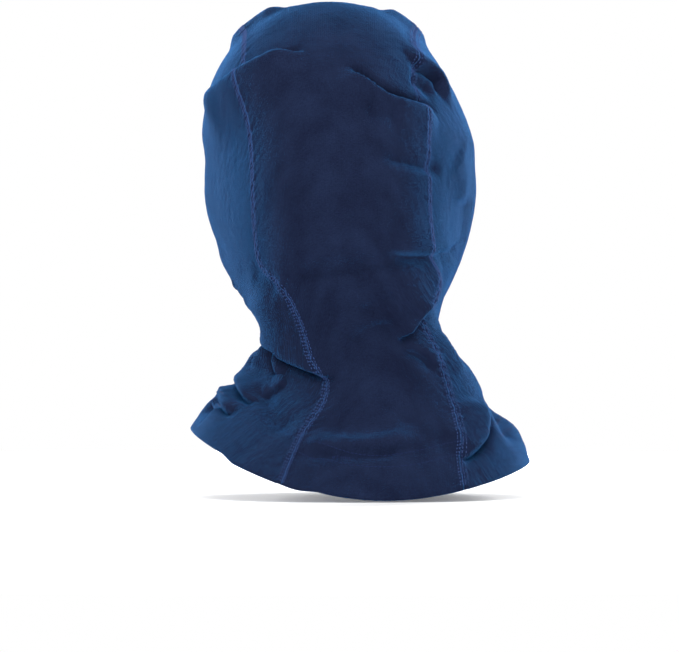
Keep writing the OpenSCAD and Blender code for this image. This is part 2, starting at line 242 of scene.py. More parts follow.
# Each fold is a crest line on the back of the hood: points (x, z) in mm, height, width of its
# steep side and of its gentle side, lean over the steep side, and hollow beyond the steep side.
# The steep side is above a line that runs to the wearer's left (+x) and below one that runs to
# the right. A negative height makes a valley, and a wide one at the outline draws the hood in. A
# fold with no height only shifts the cloth towards its steep side.
FOLDS = {
    "crown_tuck": ([(12, -39), (26, -44), (42, -51), (60, -60), (70, -67), (80, -77)], 9, 3, 17, 6, 5),
    "crown_corner_left": ([(30, -6), (46, -8), (58, -17), (66, -32)], 5, 10, 12, 0, 0),
    "crown_flat": ([(30, -1), (0, 1), (-30, -1)], -3, 14, 14, 0, 0),
    "crown_corner_right": ([(-61, -29), (-52, -17), (-43, -9), (-33, -4)], 5, 4, 12, 3, 4),
    "crown_diagonal": (
        [(-70, -82), (-58, -77), (-46, -74), (-33, -69), (-20, -60), (-6, -49)], 6, 3.5, 15, 3, 5),
    "crown_diagonal_hollow": ([(-20, -75), (-32, -79), (-44, -83)], -3.5, 6, 8, 0, 0),
    "temple_ridge": ([(-48, -40), (-60, -44), (-69, -52), (-73, -62), (-74, -70)], 6, 4, 9, 3, 4),
    "temple_hollow": ([(-50, -52), (-58, -57), (-66, -63)], -5, 6, 7, 0, 0),
    "ear_dimple": ([(-30, -106), (-48, -109), (-62, -112), (-72, -115)], -3.4, 3.5, 6, 0, 0),
    "ear_bulge": ([(-82, -100), (-88, -118), (-86, -136)], 3, 14, 14, 0, 0),
    "cheek_crease": ([(-34, -160), (-50, -162), (-66, -161), (-80, -158), (-88, -152)], 3.2, 4.5, 18, 1.5, 3),
    "cheek_bag": ([(-56, -176), (-70, -174), (-84, -170)], 3, 9, 11, 0, 0),
    "left_cheek_bag": ([(62, -190), (50, -196), (34, -198), (22, -202)], 5, 9, 12, 0, 0),
    "left_cheek_hollow": ([(50, -178), (42, -184), (30, -190)], -2.5, 8, 8, 0, 0),
    "nape_crease": ([(34, -181), (12, -181), (-10, -178), (-36, -174), (-62, -171)], -3.2, 3.5, 10, 0, 0),
    "nape_valley_long": ([(-54, -194), (-42, -206), (-26, -217), (-8, -227)], -4, 5, 9, 0, 0),
    "nape_valley_mid": ([(-42, -190), (-30, -198), (-16, -206)], -2.8, 4.5, 8, 0, 0),
    "nape_ridge": ([(-36, -212), (-24, -222), (-10, -230)], 1.5, 5, 8, 0, 0),
    "left_cheek_pinch": ([(92, -84), (94, -106), (90, -130), (82, -152), (72, -176)], -3.2, 34, 34, 0, 0),
    "right_cheek_pinch": ([(-92, -90), (-94, -112), (-90, -136), (-84, -156), (-76, -174)], -3, 30, 30, 0, 0),
    "hem_droop": ([(70, -295), (54, -303), (34, -311), (6, -321)], 0, 18, 25, 2.8, 0),
    "left_neck_pinch": ([(70, -184), (62, -200), (58, -216), (56, -234)], -8, 15, 15, 0, 0),
    "left_flare_pinch": ([(76, -256), (83, -265), (78, -273)], -9, 7, 7, 0, 0),
    "right_flare_pinch": ([(-104, -252), (-112, -268), (-118, -282), (-122, -292)], -8, 12, 12, 0, 0),
    "left_bag": (
        [(52, -200), (44, -212), (36, -222), (27, -229), (14, -235), (0, -242), (-10, -247)],
        6.5, 3.5, 20, 6, 7),
    "right_bag": ([(-40, -224), (-45, -215), (-52, -205), (-60, -194), (-70, -181)], 8, 3, 20, 6, 9),
    "right_hook": ([(-46, -224), (-56, -227), (-65, -234), (-70, -243)], 3, 3.5, 6, 1, 2),
    "left_neck_edge": ([(42, -218), (45, -230), (49, -242)], 4, 3, 8, 2, 5),
    "left_roll": ([(60, -240), (54, -249), (51, -256), (44, -262)], 6, 3.5, 9, 5, 6),
    "left_roll_small": ([(68, -257), (64, -264), (56, -268)], 5, 3.5, 6, 4, 5),
    "left_ridge_inner": ([(34, -228), (34, -236), (31, -246)], 3.5, 2.5, 5, 1, 3),
    "left_ridge_outer": ([(44, -256), (35, -253), (27, -249)], 3.5, 3, 6, 1, 0),
    "collar_valley_left": ([(44, -250), (40, -264), (34, -274), (22, -282)], -5, 6, 9, 0, 0),
    "collar_valley": ([(20, -281), (0, -284), (-24, -283), (-48, -277), (-68, -270)], -2, 6, 9, 0, 0),
    "collar_ridge": ([(20, -288), (-6, -291), (-34, -290), (-58, -284)], 4.5, 5, 9, 0, 0),
    "collar_crease": ([(26, -296), (0, -298), (-30, -297), (-52, -293)], -2.2, 3, 6, 0, 0),
    "collar_fan": ([(-30, -262), (-42, -268), (-50, -280)], -1.5, 4, 6, 0, 0),
    "right_shoulder_edge": ([(-88, -246), (-82, -236), (-76, -226), (-70, -216)], 1.8, 6, 10, 0, 1.5),
    "right_shoulder_curl": (
        [(-78, -297), (-89, -292), (-95, -284), (-97, -273), (-92, -260)], 6, 3.5, 16, 4, 7),
}
# Gentle folds under the chin, on the front. Here the steep side is the other way up.
FRONT_FOLDS = {
    "chin_valley": ([(-48, -226), (-22, -236), (8, -238), (36, -230), (54, -220)], -2.6, 5, 9, 0, 0),
    "throat_ridge": ([(-58, -242), (-30, -252), (6, -254), (40, -247), (62, -236)], 3, 6, 10, 0, 0),
    "throat_valley": ([(-70, -258), (-36, -268), (4, -271), (44, -264), (74, -252)], -2.6, 6, 10, 0, 0),
    "collar_slant": ([(-24, -262), (-46, -278), (-62, -292)], 2.4, 6, 10, 0, 0),
    "collar_slant_left": ([(26, -262), (52, -276), (76, -284)], 2.2, 6, 10, 0, 0),
}
# Least part of a normal that turns to the back, or to the front, for a point to count as there.
FACING_LIMIT = -0.05
CREST_STEPS = 8
# Share of a crest over which it fades in and out.
CREST_END = 0.22
# Middle of a hollow, in widths of the steep side beyond the crest.
HOLLOW_PLACE = 1.6
# How far a fold reaches, in widths of its wider side.
FOLD_REACH = 3


def crest(points, grid, normals, facing):
    """A smooth line through points (x, z), on the back of the cloth (facing 1) or its front (-1)."""
    flat = grid.reshape(-1, 3)
    seen = flat[facing * normals.reshape(-1, 3)[:, 1] > FACING_LIMIT]
    on = np.array([seen[np.argmin((seen[:, 0] - x) ** 2 + (seen[:, 2] - z) ** 2)] for x, z in points])
    return through(on, np.linspace(0, len(on) - 1, CREST_STEPS * len(on)))


def smooth_step(t):
    t = np.clip(t, 0, 1)
    return t * t * (3 - 2 * t)


def fold_shift(points, normals, line, height, steep, gentle, lean, hollow):
    """How far a fold moves each point."""
    a, ab = line[:-1], np.diff(line, axis=0)
    length = np.linalg.norm(ab, axis=1)
    reach = points[:, None] - a
    t = np.clip((reach * ab).sum(-1) / np.maximum(length**2, 1e-9), 0, 1)
    miss = reach - t[..., None] * ab
    distance = np.linalg.norm(miss, axis=-1)
    k = np.argmin(distance, axis=1)
    pick = np.arange(len(points))
    t, miss, distance = t[pick, k], miss[pick, k], distance[pick, k]
    corner = unit(np.gradient(line, axis=0))
    tangent = unit(corner[k] * (1 - t)[:, None] + corner[k + 1] * t[:, None])
    side = unit(np.cross(tangent, normals))
    d = distance * np.where((miss * side).sum(-1) > 0, 1, -1)
    run = (np.concatenate([[0], np.cumsum(length)])[k] + t * length[k]) / length.sum()
    strength = smooth_step(run / CREST_END) * smooth_step((1 - run) / CREST_END)
    bump = strength * np.exp(-((d / np.where(d > 0, steep, gentle)) ** 2))
    under = strength * np.exp(-(((d - HOLLOW_PLACE * steep) / steep) ** 2))
    return normals * (height * bump - hollow * under)[:, None] + side * (lean * bump)[:, None]


def folded(grid):
    """The cloth with all its folds."""
    normals = normals_of(grid)
    flat, flat_normals = grid.reshape(-1, 3), normals.reshape(-1, 3)
    shift = np.zeros_like(flat)
    both = [(fold, 1) for fold in FOLDS.values()] + [(fold, -1) for fold in FRONT_FOLDS.values()]
    for (points, *shape), facing in both:
        line = crest(points, grid, normals, facing)
        _height, steep, gentle, _lean, _hollow = shape
        margin = FOLD_REACH * max(steep, gentle)
        near = np.all((flat > line.min(0) - margin) & (flat < line.max(0) + margin), axis=1)
        shift[near] += fold_shift(flat[near], flat_normals[near], line, *shape)
    return grid + shift.reshape(grid.shape)


# ---- The finished cloth, and points on it ----

CLOTH_T = 1.2
PLY_GAP = 0.02
SEAM_W = 5.6
# Puckers reach this far from a seam, and the flat-lock seam stands this much proud.
PUCKER_REACH = 6.0
SEAM_RIDGE = 0.35
# The hem stitching draws the cloth in, and the second ply lifts the cloth below it.
HEM_DRAW = 0.5
HEM_REACH = 4.0
HEM_LIFT = 0.3
HEM_LIFT_RUN = 3
NAP_SEED = 7
NAP_BLURS = 2


def ring_distance(column, at):
    """Columns between two places on the ring, the shorter way round."""
    gap = np.abs(column - at) % COLUMNS
    return np.minimum(gap, COLUMNS - gap)


def length_along(grid):
    """Length of cloth from the cut edge, down every column."""
    step = np.linalg.norm(np.diff(grid, axis=0), axis=-1)
    return np.concatenate([np.zeros((1, grid.shape[1])), np.cumsum(step, axis=0)])


def puckered(grid, sizes):
    """Cloth drawn in along its seams and its hem stitching."""
    normals = normals_of(grid)
    length = length_along(grid)
    spacing = np.linalg.norm(np.roll(grid, -1, 1) - grid, axis=-1)
    column = np.arange(COLUMNS)[None, :]
    lift = np.zeros(grid.shape[:2])
    height = sizes.pucker_height / MM
    turns = 2 * np.pi / (sizes.pucker_pitch / MM)
    for at in SEAM_COLUMN.values():
        distance = ring_distance(column, at) * spacing
        wave = np.sin(turns * length + at) + 0.6 * np.sin(turns * length / 1.7 + 2 * at)
        lift += height * wave * np.exp(-((distance / PUCKER_REACH) ** 2))
        lift += SEAM_RIDGE * np.exp(-((distance / (0.5 * SEAM_W)) ** 4))
    below = length - length[HEM_ROW]
    around = np.cumsum(spacing[EDGE_ROW])[None, :]
    wave = 0.9 * np.sin(turns * around / 1.4)
    lift += (height * wave - HEM_DRAW) * np.exp(-((below / HEM_REACH) ** 2))
    lift += HEM_LIFT * smooth_step((below + HEM_LIFT_RUN) / HEM_LIFT_RUN)
    return grid + normals * lift[..., None]


def nap(height):
    """Uneven nap of the brushed wool, the same at every run."""
    field = np.random.default_rng(NAP_SEED).normal(size=(EDGE_ROW + 1, COLUMNS))
    for _ in range(NAP_BLURS):
        field = 0.5 * field + 0.25 * (np.roll(field, 1, 1) + np.roll(field, -1, 1))
    return field * height / field.std()


class Cloth:
    """The shaped cloth: its inner face, outward normals and lengths, in mm."""

    def __init__(self, base, grid):
        self.base = base
        self.grid = grid
        self.normal = normals_of(grid)
        self.down = unit(np.gradient(grid, axis=0))
        self.length = length_along(grid)
        self.spacing = np.linalg.norm(np.roll(grid, -1, 1) - grid, axis=-1)

    def sample(self, field, row, column):
        """Values of a field between rows and columns."""
        row = np.clip(np.asarray(row, float), 0, EDGE_ROW)
        i = np.minimum(np.floor(row).astype(int), EDGE_ROW - 1)
        j = np.floor(column).astype(int)
        v, u = (row - i)[..., None], (column - j)[..., None]
        top = field[i, j % COLUMNS] * (1 - u) + field[i, (j + 1) % COLUMNS] * u
        low = field[i + 1, j % COLUMNS] * (1 - u) + field[i + 1, (j + 1) % COLUMNS] * u
        return top * (1 - v) + low * v

    def place(self, row, column, height, sideways=0.0):
        """Points a height above the inner face, moved sideways along the cloth."""
        near = np.clip(np.round(row).astype(int), 0, EDGE_ROW)
        column = column + sideways / self.spacing[near, np.round(column).astype(int) % COLUMNS]
        point = self.sample(self.grid, row, column)
        normal = unit(self.sample(self.normal, row, column))
        return point + normal * np.asarray(height)[..., None], normal

    def beyond(self, column, reach, height):
        """Points past the cut edge of the face opening."""
        column = np.asarray(column)
        point = self.grid[0, column % COLUMNS] - self.down[0, column % COLUMNS] * reach
        return point + self.normal[0, column % COLUMNS] * height

    def rows_every(self, pitch, column, first, last, phase=0.0):
        """Rows that lie a pitch apart down a column."""
        length = self.length[:, column % COLUMNS]
        stops = np.arange(length[first] + phase * pitch, length[last], pitch)
        return np.interp(stops, length, np.arange(EDGE_ROW + 1))


CLOTH = {}


# ---- Meshes ----


def new_piece(name, points, faces, material, uv):
    """A smooth mesh object from points in mm, with its UVs in metres of cloth."""
    mesh = bpy.data.meshes.new(name)
    mesh.from_pydata((np.asarray(points) * MM).tolist(), [], faces)
    layer = mesh.uv_layers.new(name="cloth")
    index = np.empty(len(mesh.loops), dtype=np.int32)
    mesh.loops.foreach_get("vertex_index", index)
    layer.data.foreach_set("uv", np.asarray(uv, dtype=np.float32)[index].ravel())
    mesh.polygons.foreach_set("use_smooth", [True] * len(mesh.polygons))
    mesh.materials.append(material)
    mesh.update()
    piece = bpy.data.objects.new(name, mesh)
    bpy.context.scene.collection.objects.link(piece)
    return piece


def slab(outer, inner):
    """Points and faces of a closed slab between two grids of the same size."""
    rows, columns = outer.shape[:2]
    count = rows * columns
    index = np.arange(count).reshape(rows, columns)
    a, b = index[:-1, :-1].ravel(), index[1:, :-1].ravel()
    c, d = index[1:, 1:].ravel(), index[:-1, 1:].ravel()
    skin = np.stack([a, b, c, d], 1)
    rim = np.concatenate([index[0, :-1], index[:-1, -1], index[-1, :0:-1], index[:0:-1, 0]])
    after = np.roll(rim, -1)
    wall = np.stack([rim, after, after + count, rim + count], 1)
    faces = np.concatenate([skin, skin[:, ::-1] + count, wall])
    return np.concatenate([outer.reshape(-1, 3), inner.reshape(-1, 3)]), faces


def joined(parts):
    """One set of points, faces and UVs from several."""
    points, faces, uvs, start = [], [], [], 0
    for p, f, uv in parts:
        points.append(p)
        faces.append(f + start)
        uvs.append(uv)
        start += len(p)
    return np.concatenate(points), np.concatenate(faces).tolist(), np.concatenate(uvs)


BAR_SIDES = 6
# Rings of a bar: place along it, and share of its radius.
BAR_STATIONS = ((0.0, 0.0), (0.08, 0.75), (0.35, 1.0), (0.65, 1.0), (0.92, 0.75), (1.0, 0.0))


def bars(starts, ends, up, radius):
    """Thread stitches: a bar from each start to each end, drawn in to a point at both."""
    sides, stations = BAR_SIDES, BAR_STATIONS
    axis = ends - starts
    forward = unit(axis)
    across = unit(np.cross(forward, up))
    rise = np.cross(across, forward)
    turn = 2 * np.pi * np.arange(sides) / sides
    blocks = []
    for along, width in stations:
        centre = starts + axis * along
        if width == 0.0:
            blocks.append(centre[:, None])
            continue
        ring = np.cos(turn)[None, :, None] * across[:, None]
        ring = ring + np.sin(turn)[None, :, None] * rise[:, None]
        blocks.append(centre[:, None] + ring * radius * width)
    points = np.concatenate(blocks, axis=1)
    each = points.shape[1]
    faces = []
    rings = len(stations) - 2
    for k in range(sides):
        m = (k + 1) % sides
        faces.append([0, 1 + m, 1 + k, 1 + k])
        for r in range(rings - 1):
            base = 1 + r * sides
            faces.append([base + k, base + m, base + sides + m, base + sides + k])
        last = 1 + (rings - 1) * sides
        faces.append([last + k, last + m, each - 1, each - 1])
    faces = np.array(faces)
    every = (faces[None] + each * np.arange(len(starts))[:, None, None]).reshape(-1, 4)
    length = np.tile(np.repeat([s[0] for s in stations], [1] + [sides] * rings + [1]), len(starts))
    around = np.tile(np.concatenate([[0], np.tile(turn / (2 * np.pi), rings), [0]]), len(starts))
    reach = np.repeat(np.linalg.norm(axis, axis=1), each)
    uv = np.stack([around * 2 * np.pi * radius, length * reach], 1)
    return points.reshape(-1, 3), every, uv * MM


def thread_piece(name, groups, material):
    """One piece of thread from groups of bars."""
    points, faces, uv = joined(groups)
    # A bar's end faces repeat their last corner and become triangles.
    faces = [f[:3] if f[2] == f[3] else f for f in faces]
    return new_piece(name, points, faces, material, uv)


def riding(piece, slot, *nodes):
    """A new piece rides on the hood and stands for its frame nodes."""
    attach(piece, BODY)
    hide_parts(*nodes)
    return piece


# ---- Materials ----


def linear(hex_colour):
    """An sRGB hex colour as linear RGBA."""
    value = hex_colour.lstrip("#")
    srgb = [int(value[k:k + 2], 16) / 255 for k in (0, 2, 4)]
    return [c / 12.92 if c <= 0.04045 else ((c + 0.055) / 1.055) ** 2.4 for c in srgb] + [1.0]


def add(material, kind, links=None, **settings):
    """Adds a node to a material. links gives its inputs: a value, or (node, output)."""
    node = material.node_tree.nodes.new(kind)
    for name, value in settings.items():
        setattr(node, name, value)
    for name, source in (links or {}).items():
        socket = node.inputs[name]
        if isinstance(source, tuple) and isinstance(source[0], bpy.types.Node):
            material.node_tree.links.new(source[0].outputs[source[1]], socket)
        else:
            socket.default_value = source
    return node


def blank_material(name):
    if name in bpy.data.materials:
        bpy.data.materials.remove(bpy.data.materials[name])
    material = bpy.data.materials.new(name)
    material.use_nodes = True
    material.node_tree.nodes.clear()
    return material


def result_of(material, operation, first, second=0.0):
    """What a maths node gives."""
    return (add(material, "ShaderNodeMath", {0: first, 1: second}, operation=operation), 0)


def noise(material, place, scale, detail, roughness=0.5):
    """A cloudy pattern, with about scale clouds to each unit of its place."""
    settings = {"Vector": place, "Scale": scale, "Detail": detail, "Roughness": roughness}
    return (add(material, "ShaderNodeTexNoise", settings), "Fac")


def two_tone(material, pattern, colour, share):
    """A colour and a darker share of it, mixed by a pattern."""
    bright = linear(colour)
    dark = [c * share for c in bright[:3]] + [1]
    return (add(material, "ShaderNodeMixRGB", {"Fac": pattern, "Color1": dark, "Color2": bright}), "Color")


def surfaced(material, height, strength, distance, settings):
    """The material with its shader, and a bump in metres from a height."""
    relief = {"Height": height, "Strength": strength, "Distance": distance}
    bump = add(material, "ShaderNodeBump", relief)
    shader = add(material, "ShaderNodeBsdfPrincipled", {"Normal": (bump, "Normal"), **settings})
    add(material, "ShaderNodeOutputMaterial", {"Surface": (shader, "BSDF")})
    return material


def merino_jersey(name, colours, wale):
    """Brushed merino jersey, knitted: fine upright wales of V-shaped loops under a halo of loose
    fibre. The wool takes light deep and gives a soft blue edge where it is seen from the side."""
    material = blank_material(name)

    def plus(first, second):
        return result_of(material, "ADD", first, second)

    def times(first, second):
        return result_of(material, "MULTIPLY", first, second)

    uv = (add(material, "ShaderNodeUVMap", uv_map="cloth"), "UV")
    place = add(material, "ShaderNodeSeparateXYZ", {"Vector": uv})
    across = times((place, "X"), 1 / wale)
    down = times((place, "Y"), 1 / (0.8 * wale))
    # Distance from the middle of a wale, 0 to 0.5.
    in_wale = result_of(material, "FRACT", across)
    from_middle = result_of(material, "ABSOLUTE", result_of(material, "SUBTRACT", in_wale, 0.5))
    slope = plus(down, times(from_middle, 1.1))
    loops = result_of(material, "SINE", times(slope, 2 * np.pi))
    ridge = result_of(material, "COSINE", times(from_middle, 2 * np.pi))
    knit = plus(times(ridge, 0.16), times(loops, 0.06))
    # Loose fibre: clumps of about 1.4 mm by 0.9 mm and single hairs of about 0.4 mm.
    tight = (add(material, "ShaderNodeMapping", {"Vector": uv, "Scale": (1.0, 1.6, 1.0)}), "Vector")
    clumps = noise(material, tight, 700.0, 4.0, 0.65)
    hairs = noise(material, uv, 2600.0, 2.0, 0.6)
    broad = noise(material, uv, 45.0, 3.0, 0.55)
    height = plus(plus(knit, times(clumps, 1.8)), times(hairs, 0.7))
    # The tone differs at random with the clumps and broad clouds of fibre. The small knit term is painted
    # shade: darker in the gaps between the wales and loops, where the knit's relief sinks.
    tone_and_knit_shade = plus(plus(times(clumps, 0.55), times(broad, 0.45)), times(knit, 0.06))
    ramp = add(material, "ShaderNodeValToRGB", {"Fac": tone_and_knit_shade})
    stops = ((0.35, colours.wool_dark), (0.66, colours.wool_light))
    for stop, (position, colour) in zip(ramp.color_ramp.elements, stops):
        stop.position = position
        stop.color = linear(colour)
    return surfaced(material, height, 1.0, 0.0004, {
        "Base Color": (ramp, "Color"), "Roughness": 0.92, "Specular IOR Level": 0.1, "IOR": 1.1,
        "Sheen Weight": 1.0, "Sheen Roughness": 0.2, "Sheen Tint": linear(colours.wool_edge),
    })


def textured_thread(name, colour):
    """Textured polyester overlock thread, two ply: a fine twist with a faint sheen."""
    material = blank_material(name)
    uv = (add(material, "ShaderNodeUVMap", uv_map="cloth"), "UV")
    # The twist repeats every 0.5 mm, slanting round the thread.
    slant = {"Vector": uv, "Rotation": (0.0, 0.0, 0.6), "Scale": (2000.0, 2000.0, 1.0)}
    turned = (add(material, "ShaderNodeMapping", slant), "Vector")
    wave = {"Vector": turned, "Scale": 0.32, "Distortion": 1.5, "Detail": 1.0}
    twist = (add(material, "ShaderNodeTexWave", wave), "Fac")
    # The darker share of the colour, where the twist sinks, is painted shade in the grooves between the
    # plies.
    return surfaced(material, twist, 0.5, 0.0001, {
        "Base Color": two_tone(material, twist, colour, 0.62), "Roughness": 0.7,
        "Specular IOR Level": 0.2, "IOR": 1.3,
        "Sheen Weight": 0.3, "Sheen Roughness": 0.3, "Sheen Tint": linear(colour),
    })


def satin_ribbon(name, colour):
    """White polyester satin ribbon, woven with long floats: a smooth face with a soft shine."""
    material = blank_material(name)
    uv = (add(material, "ShaderNodeUVMap", uv_map="cloth"), "UV")
    floats = {"Vector": uv, "Scale": (5000.0, 1200.0, 1.0)}
    turned = (add(material, "ShaderNodeMapping", floats), "Vector")
    weave = noise(material, turned, 1.0, 2.0)
    return surfaced(material, weave, 0.3, 0.00008, {
        "Base Color": two_tone(material, weave, colour, 0.86), "Roughness": 0.38,
        "Sheen Weight": 0.3, "Sheen Roughness": 0.3,
    })


def elastic_tape(name, colour):
    """Knitted elastic tape, white polyester over rubber: an uneven grain of about 1.2 mm."""
    material = blank_material(name)
    place = add(material, "ShaderNodeTexCoord")
    grain = noise(material, (place, "Object"), 830.0, 2.0)
    return surfaced(material, grain, 0.5, 0.0003, {
        "Base Color": two_tone(material, grain, colour, 0.8), "Roughness": 0.8,
    })


def matte_paint(name, colour):
    """Matte studio paint: even, with a faint roller grain of about 2 mm."""
    material = blank_material(name)
    place = add(material, "ShaderNodeTexCoord")
    grain = noise(material, (place, "Object"), 500.0, 2.0)
    return surfaced(material, grain, 0.1, 0.0005, {"Base Color": linear(colour), "Roughness": 0.9})


# ---- Settings ----


def length_setting(name, description, metres):
    return bpy.props.FloatProperty(name=name, description=description, default=metres, unit="LENGTH")


def colour_setting(name, description, colour):
    return bpy.props.StringProperty(name=name, description=description, default=colour)


class HoodSizes(bpy.types.PropertyGroup):
    """Sizes that may change without changing the frame."""

    wale: length_setting("Wale", "Width of a wale, drawn a little coarser than usual to show", 0.0013)
    pucker_pitch: length_setting("Pucker pitch", "Length of one pucker along a seam", 0.0065)
    pucker_height: length_setting("Pucker height", "Height of the puckers along a seam", 0.00028)
    nap: length_setting("Nap", "Unevenness of the brushed face", 0.00007)
    seam_pitch: length_setting("Seam stitch", "Length of one flat-lock stitch", 0.0024)
    hem_pitch: length_setting("Hem stitch", "Length of one coverstitch at the hem", 0.0027)
    thread: length_setting("Thread", "Thickness of a covering thread", 0.00045)


class HoodColours(bpy.types.PropertyGroup):
    """Colours as sRGB hex."""

    wool_dark: colour_setting("Wool, dark", "Darkest fibre of the yarn", "#191F37")
    wool_light: colour_setting("Wool, light", "Lightest fibre of the yarn", "#273352")
    wool_edge: colour_setting("Wool, edge", "Halo of loose fibre", "#4CA6FF")
    seam_thread: colour_setting("Seam thread", "Thread of the seams", "#5270B4")
    tone_thread: colour_setting("Tonal thread", "Thread of the hem, binding and tacks", "#2E3E70")
    elastic: colour_setting("Elastic", "Elastic in the binding", "#E4E4E0")
    label: colour_setting("Label", "Care label", "#F0F0EC")
    floor: colour_setting("Floor", "Studio floor", "#F2F2F2")


class HoodStage(bpy.types.PropertyGroup):
    """Camera and lights."""

    distance: length_setting("Distance", "Camera to hood", 3.0)
    view_width: length_setting("View width", "Width that the camera sees at the hood", 0.448)
    rim_power: bpy.props.FloatProperty(
        name="Rim lights", description="Watts of each light beyond the hood, seen from the camera",
        default=78.0)
    fill_power: bpy.props.FloatProperty(
        name="Top light", description="Watts of the light above the hood", default=14.0)
    sky: bpy.props.FloatProperty(
        name="Sky", description="Brightness of the white surroundings", default=0.75)


# ---- Operators ----

# How far the loft may stand from the frame's crown panel.
LOFT_TOLERANCE = 1.5


class HOOD_OT_shape(bpy.types.Operator):
    """Loft the cloth over the head and neck, and lay its folds"""

    bl_idname = "hood.shape"
    bl_label = "Shape the cloth"

    def execute(self, context):
        bpy.ops.object.select_all(action="DESELECT")
        base = base_grid()
        high = np.array(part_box("crown_panel")[1]) / MM
        if np.abs(base[..., 2].max() + CLOTH_T - high[2]) > LOFT_TOLERANCE:
            raise RuntimeError("the loft does not match the frame's crown panel")
        grid = puckered(folded(base), context.scene.hood_sizes)
        CLOTH["hood"] = Cloth(base, grid)
        return {"FINISHED"}


class HOOD_OT_panels(bpy.types.Operator):
    """Cut the four knitted panels, each with its turned-up hem"""

    bl_idname = "hood.panels"
    bl_label = "Knitted panels"

    def execute(self, context):
        cloth = CLOTH["hood"]
        colours, sizes = context.scene.hood_colours, context.scene.hood_sizes
        material = merino_jersey("merino jersey", colours, sizes.wale)
        relief = nap(sizes.nap / MM)
        for name in PANEL_COLUMNS:
            self.cut(cloth, name, material, relief)
        return {"FINISHED"}

    def cut(self, cloth, name, material, relief):
        start, count = PANEL_START[name], PANEL_COLUMNS[name]
        columns = np.arange(start, start + count + 1) % COLUMNS
        grid, normal, down = (field[:, columns] for field in (cloth.grid, cloth.normal, cloth.down))
        # Flat pattern: across from the panel's middle, down from its cut edge.
        step = np.linalg.norm(np.diff(cloth.base[:, columns], axis=1), axis=-1)
        across = np.concatenate([np.zeros((len(grid), 1)), np.cumsum(step, axis=1)], axis=1)
        across -= across[:, -1:] / 2
        drop = np.linalg.norm(np.diff(cloth.base[:, columns], axis=0), axis=-1)
        length = np.concatenate([np.zeros((1, count + 1)), np.cumsum(drop, axis=0)])
        # Cells count as rectangles, so skewed ones come out too large. The turned-up hem is left out.
        uv = np.stack([across, length], -1)
        # The cloth thins out to its seams, where the nap is pressed flat.
        edge = np.minimum(across - across[:, :1], across[:, -1:] - across)
        height = CLOTH_T * (1 - 0.4 * np.exp(-((edge / 1.0) ** 2)))
        height += relief[:, columns] * smooth_step((edge - 1) / 3)
        height = height[..., None]
        turn = np.radians([25, 50, 75])

        def rounded(face, level):
            """Rows added past the hem edge, as the fold turns."""
            edge_row, out, rise = grid[-1:], down[-1:] * CLOTH_T, normal[-1:] * level * height[-1:]
            return np.concatenate([face] + [edge_row + out * np.sin(a) + rise * np.cos(a) for a in turn])

        uv_long = np.concatenate([uv] + [uv[-1:] + [0, CLOTH_T * np.sin(a)] for a in turn])
        outer = slab(rounded(grid + normal * height, 1), rounded(grid, 0))
        ply = slice(HEM_ROW, None)
        tucked = grid[ply] - normal[ply] * PLY_GAP
        inner = slab(rounded(tucked, 0), rounded(grid[ply] - normal[ply] * CLOTH_T, -1))
        both = ((outer, uv_long), (inner, uv_long[ply]))
        points, faces, uvs = joined(
            [(*part, np.tile(lay.reshape(-1, 2), (2, 1)) * MM) for part, lay in both])
        panel = riding(new_piece(name + "_cloth", points, faces, material, uvs), "jersey", name)


# Share of the pitch that a stitch covers, along a seam and round the hem and binding.
SEAM_STITCH_SHARE = 0.5
RING_STITCH_SHARE = 0.74


def stitch_rows(cloth, rows, column, offset, height, radius):
    """Single stitches along a seam: bars from row to row."""
    middle = (rows[:-1] + rows[1:]) / 2
    half = (rows[1:] - rows[:-1]) / 2 * SEAM_STITCH_SHARE
    level = np.full(len(middle), height)
    columns = np.full(len(middle), float(column))
    start, up = cloth.place(middle - half, columns, level, offset)
    end, _ = cloth.place(middle + half, columns, level, offset)
    return bars(start, end, up, radius)


def zigzag(cloth, rows, column, left, right, height, radius):
    """A thread that crosses from side to side, row to row."""
    level = np.full(len(rows), height)
    columns = np.full(len(rows), float(column))
    here, up = cloth.place(rows, columns, level, left)
    there, _ = cloth.place((rows + np.append(rows[1:], rows[-1])) / 2, columns, level, right)
    return [bars(here[:-1], there[:-1], up[:-1], radius), bars(there[:-1], here[1:], up[:-1], radius)]


class HOOD_OT_seams(bpy.types.Operator):
    """Sew the four flat-lock seams: cover threads outside, loopers inside"""

    bl_idname = "hood.seams"
    bl_label = "Flat-lock seams"

    def execute(self, context):
        cloth, sizes = CLOTH["hood"], context.scene.hood_sizes
        thread = textured_thread("polyester seam thread", context.scene.hood_colours.seam_thread)
        pitch, radius = sizes.seam_pitch / MM, sizes.thread / MM / 2
        # Four rows of cover stitches, at these distances on both sides of the seam.
        outer, inner = SEAM_W / 2 - 0.35, SEAM_W / 6 - 0.2
        for seam, column in SEAM_COLUMN.items():
            rows = cloth.rows_every(pitch, column, BINDING_ROW, EDGE_ROW)
            on = CLOTH_T + 0.6 * radius
            cover = [
                stitch_rows(cloth, rows, column, offset, on, radius)
                for offset in (-outer, -inner, inner, outer)
            ]
            cover += zigzag(cloth, rows, column, -outer, outer, CLOTH_T + 0.1 * radius, 0.35 * radius)
            node = seam + "_seam_cover_thread"
            riding(thread_piece(node + "_stitches", cover, thread), "thread", node)
            rows = cloth.rows_every(pitch, column, BINDING_ROW, HEM_ROW - 2)
            under = -0.5 * radius
            loops = zigzag(cloth, rows, column, -outer, outer, under, 0.8 * radius)
            loops += zigzag(cloth, rows, column, outer, -outer, under, 0.8 * radius)
            node = seam + "_seam_looper_thread"
            riding(thread_piece(node + "_stitches", loops, thread), "thread", node)
        return {"FINISHED"}


def ring_columns(cloth, row, pitch):
    """Columns that lie a pitch apart round a row, first and last joined."""
    step = cloth.spacing[row]
    length = np.concatenate([[0], np.cumsum(step)])
    count = int(length[-1] / pitch)
    return np.interp(np.linspace(0, length[-1], count + 1), length, np.arange(COLUMNS + 1))


